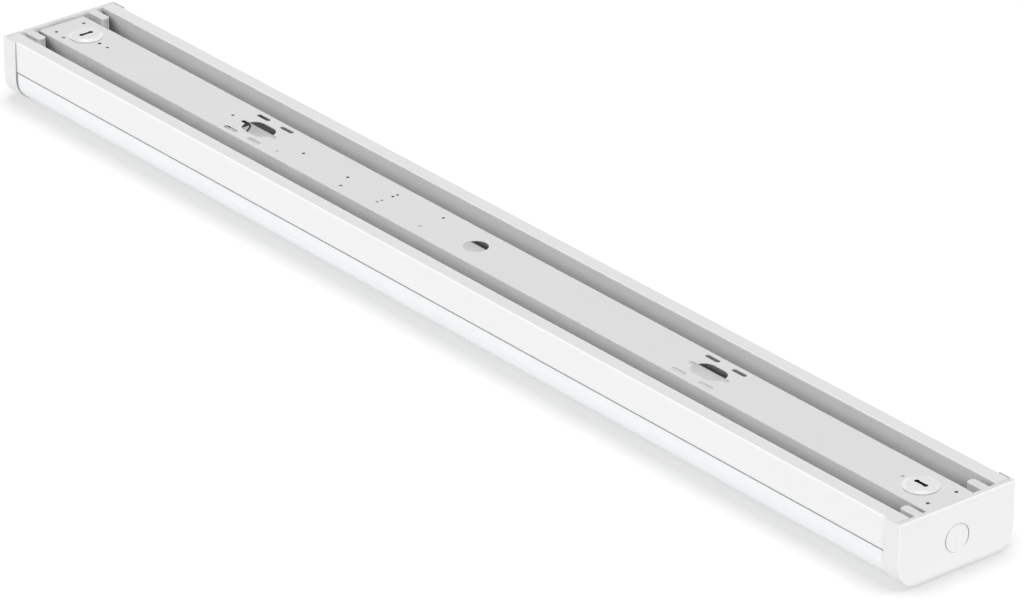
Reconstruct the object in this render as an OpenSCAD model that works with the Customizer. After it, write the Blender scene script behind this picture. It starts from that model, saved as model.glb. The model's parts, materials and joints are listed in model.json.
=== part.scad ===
// Linear strip light with a folded steel housing, an opal diffuser and pull-off end caps.
// The light lies as it hangs: diffuser down, mounting side up. X runs along it, and the
// origin is under its middle, at the underside of the end caps.

/* [Overall] */
// Length over both end caps
overall_l = 1195; // [1185:5:1400]
// Height from the underside of the end caps to the top rims
overall_h = 60; // [57:0.5:70]
// Width of the folded housing, without the end caps
body_w = 119; // [117:0.5:130]

/* [Housing] */
// Thickness of the housing sheet
shell_t = 0.8; // [0.6:0.1:1.0]
// Width of each flat rim along the top
rim_w = 14.1; // [12:0.1:15]
// Depth of the grooves beside the spine, from the rims down
groove_d = 19; // [18.5:0.5:21]
// Height of the side walls, from the rims down to the seam
side_h = 30; // [28:0.5:33]
// Width of the lip turned in along the bottom of each side wall
lip_w = 4.2; // [3.5:0.1:5]
// Middle-line radius of the bend along the outer edge of each rim
rim_bend_r = 0.8; // [0.6:0.1:3]
// Middle-line radius of the other bends of the housing
shell_bend_r = 0.7; // [0.6:0.1:1.2]

/* [Spine] */
// Width of the spine's flat top
spine_w = 49.4; // [48:0.1:51]
// Thickness of the spine sheet
spine_t = 0.6; // [0.5:0.1:1.2]
// Depth of the spine's top below the rims
spine_drop = 2.9; // [2:0.1:3.5]
// Width of the spine's flanges, from the leg's outer face
flange_w = 6.5; // [6:0.1:7]
// Middle-line radius of the spine's bends
spine_bend_r = 0.7; // [0.7:0.1:1.6]

/* [Mounting holes] */
// Distance between the two ceiling box patterns
box_pitch = 600; // [560:5:640]
// Length of the wiring hole in each box pattern
wire_hole_l = 35; // [30:0.5:38]
// Width of the wiring hole
wire_hole_w = 22; // [18:0.5:26]
// Length over the two ears of the wiring hole
ear_l = 48.5; // [44:0.5:50]
// Width of the ears
ear_w = 4.5; // [3:0.1:5]
// Distance between the slots of a box pattern, along the light
slot_pitch_x = 33; // [32:0.5:36]
// Distance between the slots of a box pattern, across the light
slot_pitch_y = 36; // [35:0.5:37]
// Length of a slot
slot_l = 16.8; // [12:0.1:18]
// Width of a slot
slot_w = 4.5; // [3:0.1:5]
// Diameter of the hole at the middle of the light
centre_hole_d = 22; // [18:0.5:26]
// Diameter of the small fixing holes
pilot_d = 3.4; // [3:0.1:3.6]

/* [Diffuser] */
// Wall of the diffuser
diffuser_t = 1.6; // [1.2:0.1:1.8]
// Outside radius of the diffuser's lower corners
diffuser_r = 20.6; // [16:0.2:22]
// Gap of the seam between side wall and diffuser
seam_gap = 0.9; // [0.6:0.1:1.2]
// Clearance of the diffuser's hooks on the housing's lips
track_gap = 0.3; // [0.2:0.05:0.35]

/* [End caps] */
// Thickness of the end wall
cap_wall = 5.2; // [4.6:0.1:6]
// Length of the skirt, from the end wall's inner face
skirt_l = 13.3; // [10:0.1:16]
// Thickness of the skirt
skirt_t = 1.1; // [0.9:0.1:1.5]
// Clearance between an end cap and what it covers
cap_gap = 0.3; // [0.25:0.05:0.4]
// Radius round the edge of the end face
cap_edge_r = 1.2; // [0.8:0.1:2]
// Skin left where the end wall is cored from inside
cap_skin = 2; // [1.6:0.1:2.4]
// Wall of the prongs, and of the ribs between the cored pockets
rib_t = 1.5; // [1.2:0.1:1.8]
// Length of the prongs that reach into the grooves
prong_l = 20; // [16:0.5:24]
// Width of the prongs
prong_w = 8.6; // [8:0.1:10]
// Height of the prongs
prong_h = 15.5; // [14:0.5:16]
// Depth of the prongs' tops below the rims
prong_drop = 1.5; // [1:0.1:2]
// Setback of the web that closes the end of each prong
prong_web_set = 3.5; // [2:0.5:5]
// Length of the tongues that reach under the spine
tongue_l = 19; // [17:0.5:20]
// Width of the tongues
tongue_w = 9; // [8:0.5:10]
// Thickness of the tongues
tongue_t = 3; // [2.5:0.1:4]
// Bore in each tongue for a fixing screw
tongue_bore_d = 3.2; // [2.2:0.1:3.4]
// Distance of the tongues' bores from the end wall's inner face
tongue_bore_set = 13.4; // [11:0.2:15]
// Distance between the two tongues, across the light
tongue_pitch = 30; // [28:0.5:32]
// Diameter of the knockout's ring groove
knockout_d = 24.5; // [20:0.5:27]
// Height of the knockout's middle below the rims
knockout_drop = 31; // [30:0.5:33]
// Width and depth of the knockout's ring groove
knockout_groove = 1; // [0.5:0.1:1.2]

/* [Cable plugs] */
// Distance of the cable plugs from the end wall's inner face
plug_set = 37.8; // [36:0.2:41]
// Diameter of the plug's rim
plug_d = 30.6; // [29:0.2:32]
// Diameter of the plug's raised flat
plug_flat_d = 24.6; // [22:0.2:26]
// Height of the plug above the spine
plug_h = 2.5; // [2:0.1:2.6]
// Height of the plug's rim before it slopes
plug_rim_h = 0.8; // [0.5:0.1:1]
// Diameter of the plug's neck
plug_neck_d = 25.6; // [24:0.2:26.4]
// Wall of the plug's neck and top
plug_t = 1.5; // [1.2:0.1:1.8]
// Clearance of the plug in its hole and on the sheet
plug_gap = 0.2; // [0.15:0.05:0.3]
// How far the plug's barbs stand out from its neck
barb_w = 0.9; // [0.6:0.1:1]
// Length of the slot through the plug
plug_slot_l = 14.4; // [12:0.2:16]
// Width of that slot between its round ends
plug_slot_w = 2.6; // [1.6:0.1:3]
// Diameter of the round ends of that slot
plug_slot_end_d = 3.8; // [3:0.1:4]

/* [Light source] */
// Length of each circuit board that carries the light-emitting diodes
board_l = 562; // [540:2:566]
// Width of each board
board_w = 24; // [20:1:30]
// Thickness of each board
board_t = 1.6; // [1:0.1:2]
// Distance between the inner ends of the two boards
board_split = 10; // [8:1:16]
// Distance from one light-emitting diode to the next
chip_pitch = 18; // [16:0.5:24]
// Distance between the two rows
chip_rows = 12; // [11:0.5:14]
// Length of a diode's package
chip_l = 3.5; // [3:0.1:4]
// Width of a diode's package
chip_w = 2.8; // [2:0.1:3]
// Height of a diode's package
chip_h = 0.7; // [0.5:0.1:1]

/* [Driver] */
// Distance from the middle of the left cable plug to the driver's case
driver_set = 35; // [32:0.5:40]
// Length of the driver's case between the notches in its ends
driver_l = 179; // [160:1:186]
// Width of the driver's case
driver_w = 32; // [28:0.5:33]
// Height of the driver's case
driver_h = 11.6; // [11:0.1:12]
// Wall of the driver's case
driver_wall = 1.2; // [1:0.1:1.5]
// Thickness of the driver's base plate
driver_plate_t = 1.0; // [0.8:0.1:1.2]
// Depth of the notch for a screw in each end of the case
driver_notch_l = 6; // [5.5:0.1:8]
// Width of those notches
driver_notch_w = 12; // [8:0.5:13]

/* [Wiring] */
// Length of the terminal block's body
terminal_l = 46; // [40:1:48]
// Width of the terminal block
terminal_w = 22; // [20:0.5:24]
// Height of the terminal block
terminal_h = 11; // [10:0.2:12]
// Thickness of the terminal block's foot
terminal_foot_t = 1.6; // [1.2:0.1:2]
// Distance between the fixing holes of the terminal block
terminal_pitch = 62; // [58:0.5:66]
// Distance of the terminal block from the middle of the light
terminal_set = 205.5; // [200:0.5:210]
// Distance between the three wire entries
entry_pitch = 6.5; // [6:0.1:7]
// Diameter of each wire entry
entry_d = 3.4; // [3:0.1:3.6]
// Outer diameter of every lead
lead_d = 1.8; // [1.4:0.1:2]

/* [Fasteners] */
// Clearance round every shank, on the radius
shank_gap = 0.15; // [0.1:0.05:0.25]
// Shank diameter of the rivets
rivet_d = 3.2; // [2.8:0.1:3.4]
// Head diameter of the rivets
rivet_head_d = 4.8; // [4.4:0.1:5]
// Distance from one rivet to the next along the spine
rivet_pitch = 180; // [120:10:190]
// Shank diameter of the screws
screw_d = 2.6; // [2.2:0.1:2.8]
// Head diameter of the screws
screw_head_d = 5.2; // [4.8:0.1:5.6]
// Head height of the screws
screw_head_h = 1.8; // [1.4:0.1:2]

/* [Hidden] */
$fn = 48;
// Amount by which a cut runs past the face it starts from
past = 1;

// Levels
top_z = overall_h;
seam_z = top_z - side_h;
floor_z = top_z - groove_d;
floor_under_z = floor_z - shell_t;
spine_z = top_z - spine_drop;
spine_under_z = spine_z - spine_t;
diffuser_z = skirt_t + cap_gap;

// Places along the light
cap_in_x = overall_l / 2 - cap_wall;
body_x = cap_in_x - cap_gap;
skirt_x = cap_in_x - skirt_l;
plug_x = cap_in_x - plug_set;
tongue_bore_x = cap_in_x - tongue_bore_set;
box_x = box_pitch / 2;

// Places across the light
rim_in_y = body_w / 2 - rim_w;
prong_y = (spine_w / 2 + rim_in_y) / 2;
rivet_y = spine_w / 2 + flange_w / 2;

// Parts of the end caps
cap_half_w = body_w / 2 + cap_gap + skirt_t;
cap_r = diffuser_r + cap_gap + skirt_t;
knockout_z = top_z - knockout_drop;

// Plug
plug_hole_d = plug_neck_d + 2 * plug_gap;
plug_top_z = spine_z + plug_gap;

// Fasteners
screw_hole_d = screw_d + 2 * shank_gap;
rivet_hole_d = rivet_d + 2 * shank_gap;
// Least distance of a rivet from the end of the housing, and the rivets on each side of the middle one
rivet_end = 40;
rivet_n = floor((body_x - rivet_end) / rivet_pitch);
// Length and width of the recess in the screws' heads
recess_l = 3;
recess_w = 0.6;

// Light source
board_z = floor_under_z - board_t;
board_x = board_split / 2;
connector_l = 8;
connector_w = 7;
connector_h = 4.4;
connector_set = 2;
connector_z = board_z - connector_h / 2;
// Where the leads enter the connectors: the red one at the middle, and the black one at the right end
connector_in_x = -board_x - connector_set - connector_l;
end_connector_in_x = board_x + board_l - connector_set - connector_l;
jumper_in = 4;
chip_set = 28;
chip_count = floor((board_l - 2 * chip_set) / chip_pitch) + 1;
board_screw_n = 4;
board_screw_set = chip_set + 1.5 * chip_pitch;
board_screw_pitch = (board_l - 2 * board_screw_set) / (board_screw_n - 1);

// Driver
driver_x0 = -plug_x + driver_set;
driver_x1 = driver_x0 + driver_l;
driver_plate_z = spine_under_z - driver_plate_t;
driver_z = driver_plate_z - driver_h;
driver_end_x0 = driver_x0 - driver_notch_l;
driver_end_x1 = driver_x1 + driver_notch_l;
driver_holes = [driver_x0 - driver_notch_l / 2, driver_x1 + driver_notch_l / 2];
driver_board_t = 1.2;
driver_standoff = 1.8;
driver_board_z = driver_z + driver_wall + driver_standoff;
driver_part_z = driver_board_z + driver_board_t;
driver_part_gap = 0.6;
driver_part_h = driver_plate_z - driver_part_z - driver_part_gap;

// Terminal block
terminal_x = -terminal_set;
terminal_x0 = terminal_x - terminal_l / 2;
terminal_x1 = terminal_x + terminal_l / 2;
terminal_foot_z = spine_under_z - terminal_foot_t;
terminal_z = terminal_foot_z - terminal_h;
terminal_holes = [terminal_x - terminal_pitch / 2, terminal_x + terminal_pitch / 2];
entry_ys = [-entry_pitch, 0, entry_pitch];
entry_z = terminal_z + terminal_h / 2;
entry_depth = 12;
clamp_l = 5;
clamp_w = 4.6;
clamp_set = 7;
clamp_roof_t = 2;
clamp_screw_d = 3;
clamp_places = [for (x = [terminal_x0 + clamp_set, terminal_x1 - clamp_set], y = entry_ys) [x, y]];

// Leads: their levels over the housing floor, two lanes along the near leg of the spine, and one
// along its far leg
lead_gap = 0.3;
low_z = floor_z + lead_d / 2 + lead_gap;
high_z = low_z + lead_d + lead_gap;
lane_1 = -(spine_w / 2 - spine_t - lead_d / 2 - lead_gap);
lane_2 = lane_1 + lead_d + lead_gap;
far_lane = -lane_1;
// How far below the connectors' middle the leads come out of the grommets
lead_below = 4;
lead_hole_d = lead_d + 2 * shank_gap;
// How far each lead reaches into what it enters
lead_in = 3;
// Where the leads leave the driver's end: red, neutral, live and black
driver_lead_z = driver_z + driver_h / 2;
driver_lead_ys = [-13, -9.5, 9.5, 13];
driver_in_x = driver_end_x1 - lead_in;

// Earth point and the two holes that the leads pass through, as [x, y]
earth_x = -60;
earth_y = 13;
earth_tag_d = 7;
earth_tag_l = 10;
earth_tag_w = 3;
earth_tag_t = 0.8;
earth_tag_z = spine_under_z - earth_tag_t;
grommet_hole_d = 7;
grommet_y = spine_w / 2 - spine_t - grommet_hole_d / 2 - 2;
grommets = [[-30, -grommet_y], [end_connector_in_x - 37, grommet_y]];
grommet_flange = 1.2;
grommet_flange_t = 1;
grommet_t = 1;

// Fixing holes of the spine that hold nothing here, as [x, y]
end_holes = [for (x = [-tongue_bore_x, tongue_bore_x], y = [-tongue_pitch / 2, tongue_pitch / 2]) [x, y]];
plug_side_holes = [[-plug_x - 10, -17.5], [-plug_x + 20.2, 0], [plug_x - 21.5, 0]];
spare_holes = [[-254.5, -15], [-165, -15], [-60, -12]];
// Pairs of holes for a cable tie, one pair each side of the middle line
tie_x = -120;
tie_pitch = 5;
tie_y = 8.5;
tie_hole_d = 2.6;

// Folded sheets and other strips
// A path is a list of [y, z, r], where r is the middle-line radius of the bend there
function unit(v) = v / norm(v);
function flat(p) = [p[0], p[1]];
function left_of(d) = [-d[1], d[0]];
function turned(v, a) = [v[0] * cos(a) - v[1] * sin(a), v[0] * sin(a) + v[1] * cos(a)];
function bend_steps(r) = ceil(3 + r / 2);
// Points of one bend, at a distance off to the left of the path
function bend(a, p, b, off) =
    let (
        u = unit(flat(p) - flat(a)),
        v = unit(flat(b) - flat(p)),
        turn = sign(u[0] * v[1] - u[1] * v[0]),
        sweep = acos(u * v),
        centre = flat(p) - u * p[2] * tan(sweep / 2) + left_of(u) * turn * p[2],
        n = bend_steps(p[2])
    )
    [for (i = [0:n]) centre - turned(left_of(u), turn * sweep * i / n) * turn * (p[2] - turn * off)];
function strip_side(path, off) =
    let (
        n = len(path) - 1,
        first = unit(flat(path[1]) - flat(path[0])),
        last = unit(flat(path[n]) - flat(path[n - 1]))
    )
    concat(
        [flat(path[0]) + left_of(first) * off],
        [for (i = [1:n - 1]) each bend(path[i - 1], path[i], path[i + 1], off)],
        [flat(path[n]) + left_of(last) * off]
    );
function backwards(points) = [for (i = [len(points) - 1:-1:0]) points[i]];
function strip(path, t) = concat(strip_side(path, t / 2), backwards(strip_side(path, -t / 2)));
// A path given for the right half, carried on to the left half
function both_halves(half) = concat(half, [for (p = backwards(half)) [-p[0], p[1], p[2]]]);

// Outline of a U with round lower corners
arc_steps = 12;
function arc(centre, r, a0, a1) =
    [for (i = [0:arc_steps]) let (a = a0 + (a1 - a0) * i / arc_steps) centre + r * [cos(a), sin(a)]];
function u_outline(half_w, low, high, r) = concat(
    [[half_w, high], [-half_w, high]],
    arc([-half_w + r, low + r], r, 180, 270),
    arc([half_w - r, low + r], r, 270, 360)
);

// Leads: a tube along a route whose corners are rounded
function rounded_corner(a, p, b, r) =
    let (
        from = p + unit(a - p) * min(r, norm(a - p) / 2),
        to = p + unit(b - p) * min(r, norm(b - p) / 2)
    )
    [for (t = [0:0.25:1]) from * (1 - t) * (1 - t) + p * 2 * t * (1 - t) + to * t * t];
function route(points, r) = concat(
    [points[0]],
    [for (i = [1:len(points) - 2]) each rounded_corner(points[i - 1], points[i], points[i + 1], r)],
    [points[len(points) - 1]]
);
lead_sides = 8;
lead_bend_r = 5;
// A direction that no lead runs along, which the rings are turned from
lead_side = unit([-0.6, 0.6, 0.53]);
module lead(points) {
    line = route(points, lead_bend_r);
    n = len(line);
    rings = [for (i = [0:n - 1])
        let (
            along = unit(line[min(i + 1, n - 1)] - line[max(i - 1, 0)]),
            across = unit(cross(along, lead_side)),
            up = cross(along, across)
        )
        for (k = [0:lead_sides - 1])
            line[i] + lead_d / 2 * (across * cos(k * 360 / lead_sides) + up * sin(k * 360 / lead_sides))];
    sides = [for (i = [0:n - 2], k = [0:lead_sides - 1])
        let (a = i * lead_sides + k, b = i * lead_sides + (k + 1) % lead_sides)
        each [[a, a + lead_sides, b + lead_sides], [a, b + lead_sides, b]]];
    start = [for (k = [0:lead_sides - 1]) k];
    finish = [for (k = [lead_sides - 1:-1:0]) (n - 1) * lead_sides + k];
    polyhedron(rings, concat([start], sides, [finish]));
}

// Draws a cross-section in the Y-Z plane and runs it from x0 to x1
module along_x(x0, x1) {
    translate([x0, 0, 0]) rotate([90, 0, 90]) linear_extrude(x1 - x0) children();
}
module at_each(places) {
    for (p = places) translate([p[0], p[1], 0]) children();
}
module both_ends() {
    for (side = [0, 1]) mirror([side, 0, 0]) children();
}
module both_sides() {
    for (side = [0, 1]) mirror([0, side, 0]) children();
}
// A hole down through a sheet whose top is at z
module hole(z, t, d) {
    translate([0, 0, z - t - past]) cylinder(h = t + 2 * past, d = d);
}
// A slot down through a sheet, along X
module slot(z, t, l, w) {
    for (side = [-1, 1]) translate([side * (l - w) / 2, 0, 0]) hole(z, t, w);
    translate([-(l - w) / 2, -w / 2, z - t - past]) cube([l - w, w, t + 2 * past]);
}

// Screw with its head down: the head's seat is at z, and the shank goes up from it
module screw(z, shank_l) {
    head_taper = 1;
    recess_h = 1;
    translate([0, 0, z]) cylinder(h = shank_l, d = screw_d);
    translate([0, 0, z - screw_head_h]) difference() {
        cylinder(h = screw_head_h, d1 = screw_head_d - head_taper, d2 = screw_head_d);
        for (a = [0, 90]) rotate(a) translate([-recess_l / 2, -recess_w / 2, -past])
            cube([recess_l, recess_w, past + recess_h]);
    }
}

// Folded housing
module housing() {
    color("white") difference() {
        along_x(-body_x, body_x) polygon(strip(both_halves([
            [body_w / 2 - lip_w, seam_z + shell_t / 2, 0],
            [body_w / 2 - shell_t / 2, seam_z + shell_t / 2, shell_bend_r],
            [body_w / 2 - shell_t / 2, top_z - shell_t / 2, rim_bend_r],
            [rim_in_y + shell_t / 2, top_z - shell_t / 2, shell_bend_r],
            [rim_in_y + shell_t / 2, floor_z - shell_t / 2, shell_bend_r]
        ]), shell_t));
        rivet_places() hole(floor_z, shell_t, rivet_hole_d);
        board_screw_places() hole(floor_z, shell_t, screw_hole_d);
        at_each(grommets) hole(floor_z, shell_t, grommet_hole_d);
    }
}

// Folded spine with its mounting holes
module mounting_spine() {
    color("gainsboro") difference() {
        along_x(-body_x, body_x) polygon(strip(both_halves([
            [spine_w / 2 + flange_w, floor_z + spine_t / 2, 0],
            [spine_w / 2 - spine_t / 2, floor_z + spine_t / 2, spine_bend_r],
            [spine_w / 2 - spine_t / 2, spine_z - spine_t / 2, spine_bend_r]
        ]), spine_t));
        for (x = [-box_x, box_x]) translate([x, 0, 0]) box_pattern();
        hole(spine_z, spine_t, centre_hole_d);
        both_ends() translate([plug_x, 0, 0]) hole(spine_z, spine_t, plug_hole_d);
        at_each(concat(end_holes, plug_side_holes, spare_holes)) hole(spine_z, spine_t, pilot_d);
        for (x = concat(driver_holes, terminal_holes))
            translate([x, 0, 0]) hole(spine_z, spine_t, screw_hole_d);
        translate([earth_x, earth_y, 0]) hole(spine_z, spine_t, screw_hole_d);
        both_sides() for (side = [-1, 1])
            translate([tie_x, tie_y + side * tie_pitch / 2, 0]) hole(spine_z, spine_t, tie_hole_d);
        rivet_places() hole(floor_z + spine_t, spine_t, rivet_hole_d);
    }
}
module box_pattern() {
    slot(spine_z, spine_t, wire_hole_l, wire_hole_w);
    slot(spine_z, spine_t, ear_l, ear_w);
    for (x = [-1, 1], y = [-1, 1])
        translate([x * slot_pitch_x / 2, y * slot_pitch_y / 2, 0]) slot(spine_z, spine_t, slot_l, slot_w);
}

// Rivets through the spine's flanges and the housing floor
module rivet_places() {
    for (i = [-rivet_n:rivet_n], side = [-1, 1])
        translate([i * rivet_pitch, side * rivet_y, 0]) children();
}
module rivet() {
    head_h = 1.1;
    shoulder_h = 0.8;
    tail_h = 1.4;
    tail_r = rivet_d / 2 + 0.5;
    bevel = 0.5;
    seat_z = floor_z + spine_t;
    rotate_extrude() polygon([
        [0, floor_under_z - tail_h], [tail_r - bevel, floor_under_z - tail_h], [tail_r, floor_under_z],
        [rivet_d / 2, floor_under_z], [rivet_d / 2, seat_z], [rivet_head_d / 2, seat_z],
        [rivet_head_d / 2 - bevel, seat_z + shoulder_h], [0, seat_z + head_h]
    ]);
}
module spine_rivets() {
    color("silver") rivet_places() rivet();
}

// Opal diffuser, which slides along the housing's lips
module diffuser() {
    half_w = body_w / 2;
    inner_r = diffuser_r - diffuser_t;
    corner = [half_w - diffuser_r, diffuser_z + diffuser_r];
    corner_left = [-corner[0], corner[1]];
    neck_y = half_w - lip_w - track_gap;
    web_z = seam_z - seam_gap;
    hook_z = seam_z + shell_t + track_gap;
    hook_y = half_w - shell_t - 2 * track_gap;
    // The right hook, from the outside of the wall round to its inside
    hook = [
        [half_w, web_z], [neck_y, web_z], [neck_y, hook_z], [hook_y, hook_z],
        [hook_y, hook_z + diffuser_t], [neck_y - diffuser_t, hook_z + diffuser_t],
        [neck_y - diffuser_t, web_z - diffuser_t], [half_w - diffuser_t, web_z - diffuser_t]
    ];
    color("azure") along_x(-body_x, body_x) polygon(concat(
        arc(corner_left, diffuser_r, 180, 270),
        arc(corner, diffuser_r, 270, 360),
        hook,
        arc(corner, inner_r, 360, 270),
        arc(corner_left, inner_r, 270, 180),
        [for (p = backwards(hook)) [-p[0], p[1]]]
    ));
}

// End cap, drawn for the right end
module cap_block() {
    slice_t = 0.02;
    hull() {
        along_x(skirt_x, overall_l / 2 - cap_edge_r) polygon(u_outline(cap_half_w, 0, top_z, cap_r));
        for (a = [30, 60, 90]) {
            inset = cap_edge_r * (1 - cos(a));
            x = overall_l / 2 - cap_edge_r * (1 - sin(a));
            along_x(x - slice_t, x)
                polygon(u_outline(cap_half_w - inset, inset, top_z - inset, cap_r - inset));
        }
    }
}
// Pockets cored into the end wall from inside: one behind the knockout, and four parted by ribs
module cap_pockets() {
    pocket_x = overall_l / 2 - cap_skin;
    knockout_wall = knockout_d / 2 + cap_skin;
    outline_in = 4;
    rib_y = knockout_wall + 16;
    translate([cap_in_x - past, 0, knockout_z]) rotate([0, 90, 0])
        cylinder(h = pocket_x - cap_in_x + past, r = knockout_wall);
    along_x(cap_in_x - past, pocket_x) difference() {
        polygon(u_outline(
            body_w / 2 - outline_in, diffuser_z + outline_in, seam_z - rib_t, diffuser_r - outline_in
        ));
        translate([0, knockout_z]) circle(r = knockout_wall + rib_t);
        for (y = [-rib_y, rib_y]) translate([y - rib_t / 2, 0]) square([rib_t, seam_z]);
    }
}
module prong() {
    end_r = 3;
    x0 = cap_in_x - prong_l;
    z0 = top_z - prong_drop - prong_h;
    translate([0, prong_y, 0]) difference() {
        translate([0, 0, z0]) linear_extrude(prong_h) {
            translate([x0 + end_r, -prong_w / 2]) square([prong_l - end_r, prong_w]);
            translate([x0, -prong_w / 2 + end_r]) square([end_r + past, prong_w - 2 * end_r]);
            for (side = [-1, 1]) translate([x0 + end_r, side * (prong_w / 2 - end_r)]) circle(r = end_r);
        }
        translate([x0 - past, -prong_w / 2 + rib_t, z0 - past])
            cube([prong_web_set + past, prong_w - 2 * rib_t, prong_h - rib_t + past]);
        translate([x0 + prong_web_set + rib_t, -prong_w / 2 + rib_t, z0 - past])
            cube([prong_l - prong_web_set - rib_t, prong_w - 2 * rib_t, prong_h - rib_t + past]);
    }
}
module tongue() {
    z0 = spine_under_z - cap_gap - tongue_t;
    translate([0, tongue_pitch / 2, 0]) difference() {
        translate([cap_in_x - tongue_l, -tongue_w / 2, z0]) cube([tongue_l, tongue_w, tongue_t]);
        translate([tongue_bore_x, 0, 0]) hole(z0 + tongue_t, tongue_t, tongue_bore_d);
    }
}
module end_cap() {
    groove_x = overall_l / 2 - knockout_groove;
    difference() {
        union() {
            difference() {
                cap_block();
                along_x(skirt_x - past, cap_in_x) polygon(u_outline(
                    body_w / 2 + cap_gap, diffuser_z - cap_gap, top_z + past, diffuser_r + cap_gap
                ));
            }
            both_sides() {
                prong();
                tongue();
            }
        }
        cap_pockets();
        translate([groove_x, 0, knockout_z]) rotate([0, 90, 0]) difference() {
            cylinder(h = knockout_groove + past, d = knockout_d + knockout_groove);
            translate([0, 0, -past])
                cylinder(h = knockout_groove + 3 * past, d = knockout_d - knockout_groove);
        }
        translate([overall_l / 2 - knockout_groove / 2, 0, knockout_z]) rotate([0, 90, 0])
            cylinder(h = past, d = knockout_groove);
    }
}
module end_cap_right() {
    color("whitesmoke") end_cap();
}
module end_cap_left() {
    color("whitesmoke") mirror([1, 0, 0]) end_cap();
}

// Snap-in cable plug, drawn round the Z axis with its slot along X
module cable_plug() {
    neck_r = plug_neck_d / 2;
    crown_z = plug_top_z + plug_h;
    barb_top = spine_under_z - plug_gap;
    barb_h = 2.6;
    neck_low = barb_top - barb_h;
    finger_gap = 3;
    difference() {
        rotate_extrude() polygon([
            [0, crown_z - plug_t], [neck_r - plug_t, crown_z - plug_t], [neck_r - plug_t, neck_low],
            [neck_r, neck_low], [neck_r + barb_w, barb_top], [neck_r, barb_top], [neck_r, plug_top_z],
            [plug_d / 2, plug_top_z], [plug_d / 2, plug_top_z + plug_rim_h], [plug_flat_d / 2, crown_z],
            [0, crown_z]
        ]);
        for (a = [45, 135]) rotate(a) translate([-plug_d, -finger_gap / 2, neck_low - past])
            cube([2 * plug_d, finger_gap, barb_top - neck_low + past + spine_t]);
        slot(crown_z, plug_h, plug_slot_l - plug_slot_end_d + plug_slot_w, plug_slot_w);
        for (side = [-1, 1]) translate([side * (plug_slot_l - plug_slot_end_d) / 2, 0, 0])
            hole(crown_z, plug_h, plug_slot_end_d);
    }
}
module cable_plug_right() {
    color("white") translate([plug_x, 0, 0]) cable_plug();
}
module cable_plug_left() {
    color("white") translate([-plug_x, 0, 0]) rotate(90) cable_plug();
}

// Boards under the housing floor
module board_screw_places() {
    both_ends() for (i = [0:board_screw_n - 1])
        translate([board_x + board_screw_set + i * board_screw_pitch, 0, 0]) children();
}
module led_board() {
    difference() {
        translate([board_x, -board_w / 2, board_z]) cube([board_l, board_w, board_t]);
        board_screw_places() hole(board_z + board_t, board_t, screw_hole_d);
    }
}
module led_board_right() {
    color("white") led_board();
}
module led_board_left() {
    color("white") mirror([1, 0, 0]) led_board();
}
module led_chips() {
    for (i = [0:chip_count - 1], side = [-1, 1])
        translate([board_x + chip_set + i * chip_pitch, side * chip_rows / 2, board_z - chip_h])
            translate([-chip_l / 2, -chip_w / 2, 0]) cube([chip_l, chip_w, chip_h]);
}
module led_chips_right() {
    color("khaki") led_chips();
}
module led_chips_left() {
    color("khaki") mirror([1, 0, 0]) led_chips();
}
module board_screws() {
    thread_past = 1.5;
    color("silver") board_screw_places() screw(board_z, board_t + shell_t + thread_past);
}
module board_connectors() {
    color("ivory") for (x = [connector_in_x, board_x + connector_set, end_connector_in_x])
        translate([x, 0, 0]) difference() {
            translate([0, -connector_w / 2, board_z - connector_h])
                cube([connector_l, connector_w, connector_h]);
            for (y = [-1, 1] * connector_w / 4) translate([-past, y, connector_z])
                rotate([0, 90, 0]) cylinder(h = connector_l + 2 * past, d = lead_hole_d);
        }
}
module board_jumper() {
    jumper_l = 2 * (board_x + connector_set + jumper_in);
    color("red") for (side = [-1, 1])
        translate([-jumper_l / 2, side * connector_w / 4, connector_z])
            rotate([0, 90, 0]) cylinder(h = jumper_l, d = lead_d);
}

// Driver under the spine
module driver_base() {
    color("dimgray") difference() {
        translate([driver_end_x0, -driver_w / 2, driver_plate_z])
            cube([driver_end_x1 - driver_end_x0, driver_w, driver_plate_t]);
        for (x = driver_holes) translate([x, 0, 0]) hole(spine_under_z, driver_plate_t, screw_hole_d);
    }
}
// Outline of the case with its two notches, drawn in by an inset
module driver_outline(inset) {
    notch_w = driver_notch_w + 2 * inset;
    difference() {
        translate([driver_end_x0 + inset, -driver_w / 2 + inset])
            square([driver_end_x1 - driver_end_x0 - 2 * inset, driver_w - 2 * inset]);
        for (x = [driver_end_x0 - past, driver_x1 - inset]) translate([x, -notch_w / 2])
            square([driver_notch_l + past + inset, notch_w]);
    }
}
module driver_case() {
    color("dimgray") difference() {
        translate([0, 0, driver_z]) linear_extrude(driver_h) driver_outline(0);
        difference() {
            translate([0, 0, driver_z + driver_wall]) linear_extrude(driver_h) driver_outline(driver_wall);
            driver_posts();
        }
        for (y = driver_lead_ys) translate([driver_in_x, y, driver_lead_z]) rotate([0, 90, 0])
            cylinder(h = lead_in + past, d = lead_hole_d);
    }
}
// Posts in the case, which the circuit board stands on
module driver_posts() {
    post_d = 5;
    post_set = 6;
    for (x = [driver_x0 + post_set, driver_x1 - post_set], y = [-1, 1] * (driver_w / 2 - post_set))
        translate([x, y, driver_z + driver_wall]) cylinder(h = driver_standoff, d = post_d);
}
module driver_board() {
    board_gap = 0.4;
    inset = driver_wall + board_gap;
    color("seagreen") translate([driver_x0 + inset, -driver_w / 2 + inset, driver_board_z])
        cube([driver_l - 2 * inset, driver_w - 2 * inset, driver_board_t]);
}
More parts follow.
